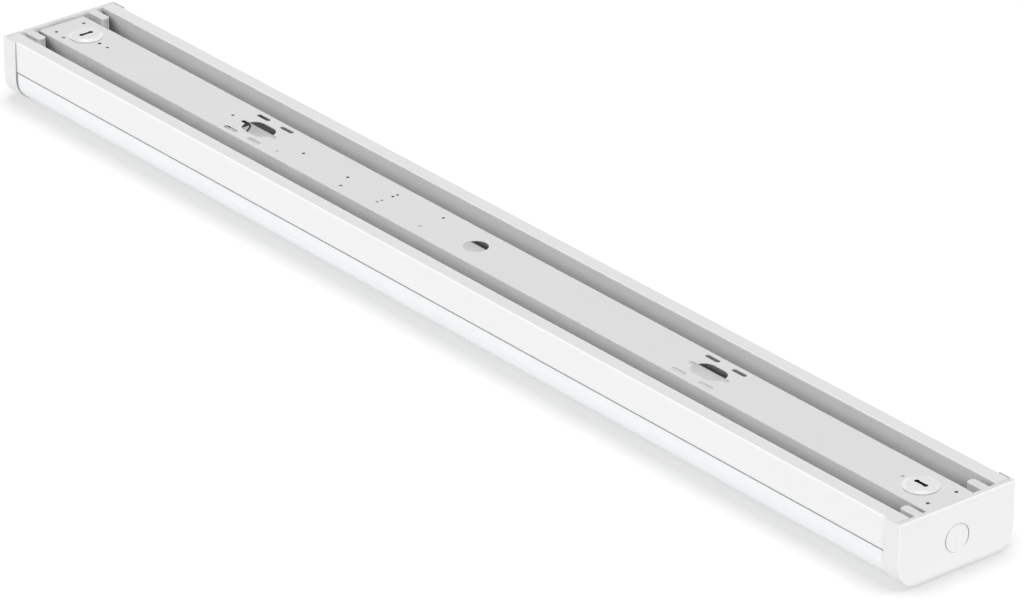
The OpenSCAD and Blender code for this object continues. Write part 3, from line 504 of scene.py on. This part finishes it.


# the paintedShade entries are painted shade in the groove walls, round the plugs, in the diffuser's seam
# and in the caps' ring
finishes = {
    "white_enamel": {"colour": (0.785, 0.785, 0.783), "tone": (0.775, 0.775, 0.773), "roughness": 0.38,
                     # the inside colour is painted shade under the spine
                     "paintedShadeAmount": 0.26, "inside": (0.75, 0.75, 0.748), "insideShadeHalf": 0.0241},
    "spine_enamel": {"colour": (0.745, 0.745, 0.743), "tone": (0.735, 0.735, 0.733), "roughness": 0.42,
                     "paintedShadeAmount": 0.26, "paintedShadeLevel": 0.7, "paintedShadeFrom": 0.0567},
    # a dark copy of the spine's enamel, painted shade for the legs' inner faces
    "spine_inside_shade": {"colour": (0.25, 0.25, 0.25), "tone": (0.24, 0.24, 0.24), "worn": (0.25, 0.25, 0.25),
                     "roughness": 0.6, "paintedShadeAmount": 0.26},
    "rivet_alloy": {"colour": (0.75, 0.75, 0.76), "tone": (0.6, 0.6, 0.61), "metallic": 1.0},
    "opal": {"colour": (0.78, 0.8, 0.81), "tone": (0.77, 0.79, 0.8), "roughness": 0.35, "subsurface": 0.3,
             "paintedShadeReach": 0.004, "paintedShadeAmount": 1.0, "paintedShadeLevel": 0.65, "paintedShadeFrom": 0.02},
    "cap_plastic": {"colour": (0.74, 0.74, 0.738), "tone": (0.73, 0.73, 0.728), "roughness": 0.5,
                    "paintedShadeReach": 0.006, "paintedShadeAmount": 0.3, "paintedShadeLevel": 0.3, "paintedShadeFrom": 0.02},
    "plug_plastic": {"colour": (0.8, 0.8, 0.8), "tone": (0.79, 0.79, 0.79), "roughness": 0.45,
                     "paintedShadeReach": 0.02, "paintedShadeAmount": 1.0},
    # black standing in for shadow in slots, bores and small holes
    "painted_shadow_black": {"colour": (0.01, 0.01, 0.01), "tone": (0.008, 0.008, 0.008), "worn": (0.02, 0.02, 0.02),
                  "dustAndShadeAmount": 0.0, "specular": 0.0, "roughness": 0.9},
    "board_white": {"colour": (0.85, 0.85, 0.83), "tone": (0.82, 0.82, 0.8)},
    "phosphor": {"colour": (0.85, 0.75, 0.25), "tone": (0.8, 0.68, 0.2)},
    "screw_steel": {"colour": (0.06, 0.06, 0.065), "tone": (0.04, 0.04, 0.045), "worn": (0.2, 0.2, 0.21),
                    "metallic": 1.0},
    "connector_plastic": {"colour": (0.82, 0.8, 0.73), "tone": (0.78, 0.76, 0.69)},
    "lead_red": {"colour": (0.32, 0.02, 0.018), "tone": (0.26, 0.016, 0.015), "worn": (0.4, 0.06, 0.05)},
    "lead_black": {"colour": (0.03, 0.03, 0.03), "tone": (0.02, 0.02, 0.02), "worn": (0.1, 0.1, 0.1)},
    "lead_white": {"colour": (0.8, 0.8, 0.8), "tone": (0.75, 0.75, 0.74)},
    "lead_green": {"colour": (0.02, 0.14, 0.04), "tone": (0.016, 0.12, 0.035), "worn": (0.05, 0.2, 0.08)},
    "grommet_rubber": {"colour": (0.05, 0.05, 0.05), "tone": (0.035, 0.035, 0.035),
                       "worn": (0.12, 0.12, 0.12)},
    "screw_black": {"colour": (0.05, 0.05, 0.05), "tone": (0.03, 0.03, 0.03), "worn": (0.2, 0.2, 0.2)},
    "driver_black": {"colour": (0.03, 0.03, 0.03), "tone": (0.022, 0.022, 0.022),
                     "worn": (0.09, 0.09, 0.09)},
    "board_green": {"colour": (0.05, 0.28, 0.12), "tone": (0.04, 0.24, 0.1), "worn": (0.12, 0.35, 0.2)},
    "transformer_tape": {"colour": (0.7, 0.55, 0.12), "tone": (0.62, 0.47, 0.1)},
    "capacitor_sleeve": {"colour": (0.06, 0.08, 0.2), "tone": (0.05, 0.07, 0.17),
                         "worn": (0.2, 0.22, 0.3)},
    "clamp_brass": {"colour": (0.75, 0.58, 0.25), "tone": (0.65, 0.48, 0.2), "metallic": 1.0},
    "earth_green": {"colour": (0.03, 0.14, 0.05), "tone": (0.025, 0.12, 0.04)},
}
finishOf = {name: makeFinish(name, look) for name, look in finishes.items()}
print("materials made:", len(finishOf))


for part in frame["record"]["subparts"]:
    for slot in nodes[part["node"]].material_slots:
        slot.material = finishOf[part["material_slot"]]
print("carried-over nodes have their materials")


def dress(piece, body, finish, *replaced):
    piece.data.materials.clear()
    piece.data.materials.append(finishOf[finish])
    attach(piece, body)
    if replaced:
        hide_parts(*replaced)


def paintFaces(piece, finish, wanted):
    piece.data.materials.append(finishOf[finish])
    last = len(piece.data.materials) - 1
    for face in piece.data.polygons:
        if wanted(face):
            face.material_index = last


def darken(piece, places, reach, below, largest=1):
    # painted shadow: the faces in the openings round the places are black, up to a height and an area
    def inOpening(face):
        near = any((face.center.xy / mm - Vector(place)).length < reach for place in places)
        return near and face.center.z < below * mm and face.area < largest * mm * mm

    paintFaces(piece, "painted_shadow_black", inOpening)


def addModifier(piece, kind, **settings):
    makeActive(piece)
    modifier = piece.modifiers.new(kind.lower(), kind)
    for key, value in settings.items():
        setattr(modifier, key, value)
    bpy.ops.object.modifier_apply(modifier=modifier.name)


def smooth(piece, angle=32):
    makeActive(piece)
    bpy.ops.object.shade_smooth_by_angle(angle=math.radians(angle))
    addModifier(piece, "WEIGHTED_NORMAL", keep_sharp=True, weight=50)


def softCopy(node, name, edge, segments=2, angle=40):
    # a node's own shape, merged, with its sharp edges broken
    piece = bpy.data.objects.new(name, nodes[node].data.copy())
    bpy.context.collection.objects.link(piece)
    makeActive(piece)
    bpy.ops.mesh.customdata_custom_splitnormals_clear()
    bpy.ops.object.mode_set(mode="EDIT")
    bpy.ops.mesh.select_all(action="SELECT")
    bpy.ops.mesh.remove_doubles(threshold=mergeWithin)
    bpy.ops.mesh.dissolve_limited(angle_limit=math.radians(0.4))
    bpy.ops.object.mode_set(mode="OBJECT")
    addModifier(piece, "BEVEL", width=edge, segments=segments, limit_method="ANGLE",
                angle_limit=math.radians(angle), use_clamp_overlap=True, miter_outer="MITER_ARC")
    smooth(piece)
    return piece


def roundCorner(before, here, after, rounding, steps):
    back, ahead = before - here, after - here
    start = here + back.normalized() * min(rounding, back.length / 2)
    end = here + ahead.normalized() * min(rounding, ahead.length / 2)
    shares = [step / steps for step in range(steps + 1)]
    return [start * (1 - t) ** 2 + here * 2 * t * (1 - t) + end * t * t for t in shares]


def roundProfile(points, steps=4):
    # points are (radius, height) or (radius, height, rounding)
    made = []
    corners = [Vector(point[:2]) for point in points]
    for index, point in enumerate(points):
        if len(point) < 3 or index in (0, len(points) - 1):
            made.append(corners[index])
        else:
            made += roundCorner(*corners[index - 1:index + 2], point[2], steps)
    return made


def lathe(name, points, sides=96):
    # a profile is drawn point by point in millimetres and spun round the upright axis
    profile = [point * mm for point in roundProfile(points)]
    deselectAll()
    bpy.ops.mesh.primitive_plane_add(size=mm, location=(0, 0, 0))
    piece = bpy.context.object
    piece.name = name
    bpy.context.tool_settings.mesh_select_mode = (True, False, False)
    bpy.ops.object.mode_set(mode="EDIT")
    bpy.ops.mesh.merge(type="CENTER")
    bpy.ops.transform.translate(value=(profile[0].x, 0, profile[0].y))
    for before, after in zip(profile, profile[1:]):
        step = (after.x - before.x, 0, after.y - before.y)
        bpy.ops.mesh.extrude_vertices_move(TRANSFORM_OT_translate={"value": step})
    bpy.ops.mesh.select_all(action="SELECT")
    bpy.ops.mesh.spin(steps=sides, angle=2 * math.pi, center=(0, 0, 0), axis=(0, 0, 1))
    bpy.ops.mesh.select_all(action="SELECT")
    bpy.ops.mesh.remove_doubles(threshold=mergeWithin / 2)
    bpy.ops.mesh.normals_make_consistent(inside=False)
    bpy.ops.object.mode_set(mode="OBJECT")
    return piece


def pickFaces(piece, wanted):
    # leaves the piece in edit mode with the faces picked by their middle and normal
    makeActive(piece)
    mesh = piece.data
    for part in (*mesh.vertices, *mesh.edges):
        part.select = False
    for face in mesh.polygons:
        face.select = wanted(face.center, face.normal)
    bpy.context.tool_settings.mesh_select_mode = (False, False, True)
    bpy.ops.object.mode_set(mode="EDIT")


def moveTo(piece, x, y, z=0):
    piece.location = (x * mm, y * mm, z * mm)
    makeActive(piece)
    bpy.ops.object.transform_apply(location=True, rotation=True, scale=True)


def addBlock(name, low, high):
    # a cube from its low to its high corner, in millimetres
    deselectAll()
    size = [(b - a) * mm for a, b in zip(low, high)]
    bpy.ops.mesh.primitive_cube_add(size=1, location=[(a + b) / 2 * mm for a, b in zip(low, high)])
    block = bpy.context.object
    block.name = name
    block.scale = size
    bpy.ops.object.transform_apply(location=True, rotation=True, scale=True)
    return block


def addRod(name, radius, low, high, x=0, y=0, sides=48):
    deselectAll()
    bpy.ops.mesh.primitive_cylinder_add(vertices=sides, radius=radius * mm, depth=(high - low) * mm,
                                        location=(x * mm, y * mm, (low + high) / 2 * mm))
    rod = bpy.context.object
    rod.name = name
    bpy.ops.object.transform_apply(location=True, rotation=True, scale=True)
    return rod


def turn(piece, degrees, axis="Z", about=(0, 0, 0)):
    makeActive(piece)
    bpy.ops.object.mode_set(mode="EDIT")
    bpy.ops.mesh.select_all(action="SELECT")
    bpy.ops.transform.rotate(value=math.radians(degrees), orient_axis=axis, center_override=about)
    bpy.ops.object.mode_set(mode="OBJECT")


def join(name, parts):
    deselectAll()
    for part in parts:
        part.select_set(True)
    bpy.context.view_layer.objects.active = parts[0]
    if len(parts) > 1:
        bpy.ops.object.join()
    parts[0].name = name
    return parts[0]


def cut(piece, *tools):
    # takes each tool out of the piece, and then the tool goes
    for tool in tools:
        addModifier(piece, "BOOLEAN", operation="DIFFERENCE", object=tool, solver="EXACT")
        bpy.data.objects.remove(tool)


def repeat(piece, count, step):
    addModifier(piece, "ARRAY", count=count, use_relative_offset=False, use_constant_offset=True,
                constant_offset_displace=[part * mm for part in step])


housingLook = {
    "edge": 0.00012, "spineEdge": 0.00008, "diffuserEdge": 0.0002,
    "holeReach": 1.85,      # takes in the wall of a small hole
    "holeTop": 57.2,        # just under the spine's upper face
    "legInside": 0.0233,    # distance from the middle, past which lie the spine's legs
}
tongueHoles = [(x, y) for x in (-578.9, 578.9) for y in (-15, 15)]
darkHoles = tongueHoles + [     # small holes of the spine that look black, their walls painted black as shadow, the screws' among them
    (-564.5, -17.5), (-534.3, 0), (-522.5, 0), (-337.5, 0), (-236.5, 0), (-174.5, 0), (-165, -15),
    (-60, 13), (-120, -11), (-120, -6), (-120, 6), (-120, 11)]

housing = softCopy("housing", "foldedHousing", housingLook["edge"], segments=1)
dress(housing, "light_body", "white_enamel", "housing")
spine = softCopy("mounting_spine", "foldedSpine", housingLook["spineEdge"], segments=1)
dress(spine, "light_body", "spine_enamel", "mounting_spine")
darken(spine, darkHoles, housingLook["holeReach"], housingLook["holeTop"])
# the inner faces of the two legs lie in the dark, and get a dark colour as painted shade
paintFaces(spine, "spine_inside_shade", lambda face: (
    abs(face.center.y) > housingLook["legInside"] and face.center.y * face.normal.y < 0))
diffuser = softCopy("diffuser", "opalDiffuser", housingLook["diffuserEdge"])
dress(diffuser, "light_body", "opal", "diffuser")
print("housing, spine and diffuser are made")


capLook = {"edge": 0.00035, "segments": 3, "boreReach": 1.7}

for side in ("left", "right"):
    cap = softCopy(f"end_cap_{side}", f"endCap_{side}", capLook["edge"], capLook["segments"])
    dress(cap, f"{side}_cap", "cap_plastic", f"end_cap_{side}")
    # the tongues' bores are painted black as shadow
    darken(cap, tongueHoles, capLook["boreReach"], housingLook["holeTop"])
print("end caps are made")


plugShape = {
    "place": 554.5,
    "crown": 59.8,          # heights over the floor
    "rimLow": 57.3,
    "rimHigh": 58.1,
    "neckLow": 53.7,
    "barbTop": 56.3,
    "rim": 15.3,            # radii
    "flat": 12.3,
    "neck": 12.8,
    "barb": 13.7,
    "wall": 1.5,
    "slotEnds": 5.0,        # middles of the slot's round ends
    "slotEnd": 2.2,
    "slotHalf": 1.6,
    "fingerGap": 1.5,       # half width of the gaps between the four fingers
    "gapReach": 20,
    "gapTop": 56.9,
    "edge": 0.12,
    "blackTop": 59.55,      # the slot's walls are painted black as shadow up to here
    "blackReach": 11.5,     # just past the hollow's wall
    "wholeFace": 1000,      # larger than any face of the hollow
}


def makePlug(shape, name, x, quarterTurn):
    inside = shape["neck"] - shape["wall"]
    roof = shape["crown"] - shape["wall"]
    plug = lathe(name, [
        (0, roof), (inside, roof, 0.4), (inside, shape["neckLow"], 0.1),
        (shape["neck"], shape["neckLow"], 0.2), (shape["barb"], shape["barbTop"], 0.2),
        (shape["neck"], shape["barbTop"]), (shape["neck"], shape["rimLow"], 0.15),
        (shape["rim"], shape["rimLow"], 0.15), (shape["rim"], shape["rimHigh"], 0.35),
        (shape["flat"], shape["crown"], 0.5), (0, shape["crown"]),
    ])
    low, high = shape["rimLow"] - 1, shape["crown"] + 1
    ends, half = shape["slotEnds"], shape["slotHalf"]
    cut(plug,
        addBlock("slotTool", (-ends, -half, low), (ends, half, high)),
        addRod("slotTool", shape["slotEnd"], low, high, -ends),
        addRod("slotTool", shape["slotEnd"], low, high, ends))
    for angle in (45, 135):
        gap = addBlock("gapTool", (-shape["gapReach"], -shape["fingerGap"], shape["neckLow"] - 1),
                       (shape["gapReach"], shape["fingerGap"], shape["gapTop"]))
        turn(gap, angle)
        cut(plug, gap)
    addModifier(plug, "BEVEL", width=shape["edge"] * mm, segments=2, limit_method="ANGLE",
                angle_limit=math.radians(50), use_clamp_overlap=True)
    if quarterTurn:
        turn(plug, 90)
    moveTo(plug, x, 0)
    smooth(plug)
    return plug


for side, sign in (("left", -1), ("right", 1)):
    plug = makePlug(plugShape, f"cablePlug_{side}", sign * plugShape["place"], side == "left")
    dress(plug, f"{side}_plug", "plug_plastic", f"cable_plug_{side}")
    # the slot and hollow of the plug are painted black as shadow
    darken(plug, [(sign * plugShape["place"], 0)], plugShape["blackReach"], plugShape["blackTop"],
           plugShape["wholeFace"])
print("cable plugs are made")


rivetShape = {
    "pitch": 180, "count": 7, "apart": 27.95,
    "seat": 41.6, "under": 40.2,    # top of the flange and underside of the floor
    "head": 2.4, "headHigh": 1.1, "shank": 1.6, "tail": 2.1, "tailLow": 1.4,
    "mandrel": 0.95,                # hole that the broken mandrel sits in
    "sides": 32,
}


def makeRivets(shape):
    seat, under = shape["seat"], shape["under"]
    crown = seat + shape["headHigh"]
    rivet = lathe("spineRivets", [
        (0, under - shape["tailLow"]), (shape["tail"] - 0.5, under - shape["tailLow"], 0.4),
        (shape["tail"], under, 0.1), (shape["shank"], under), (shape["shank"], seat),
        (shape["head"], seat, 0.1), (shape["head"] - 0.35, seat + 0.75, 0.5),
        (shape["mandrel"] + 0.1, crown, 0.1), (shape["mandrel"], crown - 0.35),
        (0.3, crown - 0.3, 0.1), (0, crown - 0.2),
    ], shape["sides"])
    moveTo(rivet, -shape["pitch"] * (shape["count"] // 2), -shape["apart"])
    repeat(rivet, shape["count"], (shape["pitch"], 0, 0))
    repeat(rivet, 2, (0, 2 * shape["apart"], 0))
    smooth(rivet)
    return rivet


dress(makeRivets(rivetShape), "light_body", "rivet_alloy", "spine_rivets")
print("rivets are made")


screwShape = {
    "head": 2.6, "headHigh": 1.8, "shank": 1.3, "root": 1.08, "threadStep": 0.8,
    "crown": 1.9,           # radius of the head's flat top
    "shoulder": 0.9,        # from the seat to where the head starts to close
    "threadFrom": 0.3,
    "recess": 1.5, "recessHalf": 0.3, "recessDeep": 1.0,
    "sides": 40,
}


def makeScrew(shape, name, seat, length, x, y=0):
    # the head hangs below its seat, and the thread goes up
    low = seat - shape["headHigh"]
    points = [(0, low), (shape["crown"], low, 0.3), (shape["head"], seat - shape["shoulder"], 0.7),
              (shape["head"], seat, 0.1), (shape["shank"], seat)]
    height = seat + shape["threadFrom"]
    while height + shape["threadStep"] < seat + length:
        points += [(shape["shank"], height), (shape["root"], height + shape["threadStep"] / 2)]
        height += shape["threadStep"]
    points += [(shape["shank"], height), (shape["root"], seat + length), (0, seat + length)]
    screw = lathe(name, points, shape["sides"])
    long, half = shape["recess"], shape["recessHalf"]
    high = low + shape["recessDeep"]
    for wide, deep in ((long, half), (half, long)):
        cut(screw, addBlock("recessTool", (-wide, -deep, low - 1), (wide, deep, high)))
    moveTo(screw, x, y)
    smooth(screw)
    return screw


screwPlaces = {
    "boardSeat": 38.6, "boardFirst": 60, "boardPitch": 452 / 3, "boardCount": 4, "boardLength": 3.9,
    "driverSeat": 55.5, "driverEnds": (-522.5, -337.5), "driverLength": 1.3,
    "terminalSeat": 54.9, "terminalEnds": (-236.5, -174.5), "terminalLength": 1.9,
    "earth": (-60, 13), "earthSeat": 55.7, "earthLength": 1.1,
}

boardScrews = makeScrew(screwShape, "boardScrews", screwPlaces["boardSeat"], screwPlaces["boardLength"],
                        screwPlaces["boardFirst"])
repeat(boardScrews, screwPlaces["boardCount"], (screwPlaces["boardPitch"], 0, 0))
addModifier(boardScrews, "MIRROR", use_axis=(True, False, False), use_mirror_merge=False)
dress(boardScrews, "light_body", "screw_steel", "board_screws")
driverScrews = join("driverScrews", [
    makeScrew(screwShape, "driverScrew", screwPlaces["driverSeat"], screwPlaces["driverLength"], x)
    for x in screwPlaces["driverEnds"]])
dress(driverScrews, "light_body", "screw_black", "driver_screws")
earthScrew = makeScrew(screwShape, "earthScrew", screwPlaces["earthSeat"], screwPlaces["earthLength"],
                       *screwPlaces["earth"])
dress(earthScrew, "light_body", "earth_green", "earth_screw")
print("screws are made")


chipShape = {
    "first": 33, "pitch": 18, "count": 29, "rowsApart": 12,
    "top": 38.6, "low": 37.9, "long": 3.5, "wide": 2.8, "rim": 0.35, "dish": 0.12, "dishSlope": 0.05,
}


def makeChips(shape, name, x):
    y = -shape["rowsApart"] / 2
    chip = addBlock(name, (x - shape["long"] / 2, y - shape["wide"] / 2, shape["low"]),
                    (x + shape["long"] / 2, y + shape["wide"] / 2, shape["top"]))
    chip.data.materials.append(finishOf["board_white"])
    chip.data.materials.append(finishOf["phosphor"])
    pickFaces(chip, lambda middle, normal: normal.z < -0.9)
    bpy.ops.mesh.inset(thickness=shape["rim"] * mm, depth=0)
    bpy.ops.mesh.inset(thickness=shape["dishSlope"] * mm, depth=-shape["dish"] * mm)
    bpy.ops.object.mode_set(mode="OBJECT")
    for face in chip.data.polygons:
        face.material_index = int(face.select)      # the dished window is left selected
    repeat(chip, shape["count"], (shape["pitch"], 0, 0))
    repeat(chip, 2, (0, shape["rowsApart"], 0))
    return chip


chipRow = chipShape["pitch"] * (chipShape["count"] - 1)
for side, x in (("left", -chipShape["first"] - chipRow), ("right", chipShape["first"])):
    chips = makeChips(chipShape, f"ledChips_{side}", x)
    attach(chips, "light_body")
    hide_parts(f"led_chips_{side}")
print("light-emitting diodes are made")


leadShape = {"radius": 0.9, "corner": 5, "steps": 8, "bevelSteps": 3}


def makeLead(shape, name, points):
    corners = [Vector(point) for point in points]
    route = [corners[0]]
    for before, here, after in zip(corners, corners[1:], corners[2:]):
        route += roundCorner(before, here, after, shape["corner"], shape["steps"])
    route.append(corners[-1])
    curve = bpy.data.curves.new(name, "CURVE")
    curve.dimensions = "3D"
    curve.bevel_depth = shape["radius"] * mm
    curve.bevel_resolution = shape["bevelSteps"]
    curve.use_fill_caps = True
    line = curve.splines.new("POLY")
    line.points.add(len(route) - 1)
    for point, place in zip(line.points, route):
        point.co = (*(place * mm), 1)
    lead = bpy.data.objects.new(name, curve)
    bpy.context.collection.objects.link(lead)
    makeActive(lead)
    bpy.ops.object.convert(target="MESH")
    bpy.ops.object.shade_smooth()
    return bpy.context.object


driverEnd = -334.5
blockEnd = -228.5
leadRoutes = {
    # name: node, finish, points
    "redLead": ("led_lead_red", "lead_red", [
        (-337.5, -13, 49.7), (driverEnd + 6, -13, 49.7), (driverEnd + 20, -22.9, 42.2),
        (-42, -22.9, 42.2), (-30, -18.6, 45.2), (-30, -18.6, 32.4), (-26, -1.75, 32.4),
        (-20, -1.75, 36.4), (-12, -1.75, 36.4)]),
    "blackLead": ("led_lead_black", "lead_black", [
        (-337.5, 13, 49.7), (driverEnd + 6, 13, 49.7), (driverEnd + 20, 22.9, 42.2),
        (508, 22.9, 42.2), (520, 18.6, 45.2), (520, 18.6, 32.4), (546, 1.75, 32.4),
        (552, 1.75, 36.4), (560, 1.75, 36.4)]),
    "liveLead": ("live_lead", "lead_black", [
        (-337.5, 9.5, 49.7), (driverEnd + 11, 9.5, 49.7), (driverEnd + 26, -13, 47.7),
        (driverEnd + 38, -20.8, 44.3), (blockEnd - 32, -20.8, 44.3), (blockEnd - 9, 0, 49.4),
        (blockEnd + 3, 0, 49.4)]),
    "neutralLead": ("neutral_lead", "lead_white", [
        (-337.5, -9.5, 49.7), (driverEnd + 8, -9.5, 49.7), (driverEnd + 36, -20.8, 42.2),
        (blockEnd - 22, -20.8, 42.2), (blockEnd - 8, -6.5, 49.4), (blockEnd + 3, -6.5, 49.4)]),
    "earthLead": ("earth_lead", "lead_green", [
        (-185.5, 6.5, 49.4), (-168.5, 6.5, 49.4), (-148.5, 13, 46.2), (-91, 13, 46.2),
        (-75, 13, 54.5), (-67, 13, 54.5)]),
}
for name, (node, finish, points) in leadRoutes.items():
    dress(makeLead(leadShape, name, points), "light_body", finish, node)
print("leads are made")


blockShape = {
    "x": -205.5, "low": 43.9, "set": 16, "rows": (-6.5, 0, 6.5),
    "screw": 1.5, "screwLong": 4.3, "taperFrom": 3.6, "tip": 1.0,
    "slot": 0.3, "slotDeep": 0.7, "slotReach": 3,
    "sides": 32,
}


def makeClampScrews(shape):
    low = shape["low"]
    made = []
    for x in (-shape["set"], shape["set"]):
        for y in shape["rows"]:
            screw = lathe("clampScrew", [
                (0, low), (shape["screw"], low, 0.3), (shape["screw"], low + shape["taperFrom"], 0.2),
                (shape["tip"], low + shape["screwLong"]), (0, low + shape["screwLong"])], shape["sides"])
            cut(screw, addBlock("slotTool", (-shape["slotReach"], -shape["slot"], low - 1),
                                (shape["slotReach"], shape["slot"], low + shape["slotDeep"])))
            moveTo(screw, shape["x"] + x, y)
            smooth(screw)
            made.append(screw)
    return made


fixing = [
    makeScrew(screwShape, "blockScrew", screwPlaces["terminalSeat"], screwPlaces["terminalLength"], x)
    for x in screwPlaces["terminalEnds"]]
dress(join("blockScrews", fixing + makeClampScrews(blockShape)), "light_body", "screw_steel",
      "terminal_screws")
for node, name, edge, finish in (
        ("terminal_block", "terminalBody", 0.0004, "connector_plastic"),
        ("board_connectors", "boardConnectors", 0.0002, "connector_plastic"),
        ("driver_case", "driverCase", 0.0005, "driver_black"),
        ("driver_base", "driverBase", 0.00015, "driver_black"),
        ("driver_transformer", "driverCoil", 0.0004, "transformer_tape"),
        ("earth_tag", "earthTag", 0.0001, "clamp_brass")):
    dress(softCopy(node, name, edge), "light_body", finish, node)
print("terminal block, connectors and driver are made")


canShape = {
    "radius": 3.4, "long": 18, "starts": (-505.5, -372.5), "rows": (-4.4, 4.4), "height": 51.5,
    "sides": 40,
}


def makeCan(shape, x, y):
    long, radius = shape["long"], shape["radius"]
    can = lathe("driverCan", [
        (0, 0), (radius - 0.5, 0, 0.2), (radius - 0.25, 0.15), (radius, 0.5, 0.4),
        (radius, 1.6, 0.2), (radius - 0.35, 2.1, 0.2), (radius, 2.6, 0.2), (radius, long - 0.4, 0.3),
        (radius - 0.45, long, 0.1), (radius - 0.6, long - 0.15), (0, long - 0.15)], shape["sides"])
    turn(can, 90, "Y")
    low = min(vertex.co.x for vertex in can.data.vertices) / mm
    moveTo(can, x - low, y, shape["height"])
    smooth(can)
    return can


cans = [makeCan(canShape, x, y) for x in canShape["starts"] for y in canShape["rows"]]
dress(join("driverCans", cans), "light_body", "capacitor_sleeve", "driver_capacitors")
print("driver's capacitors are made")
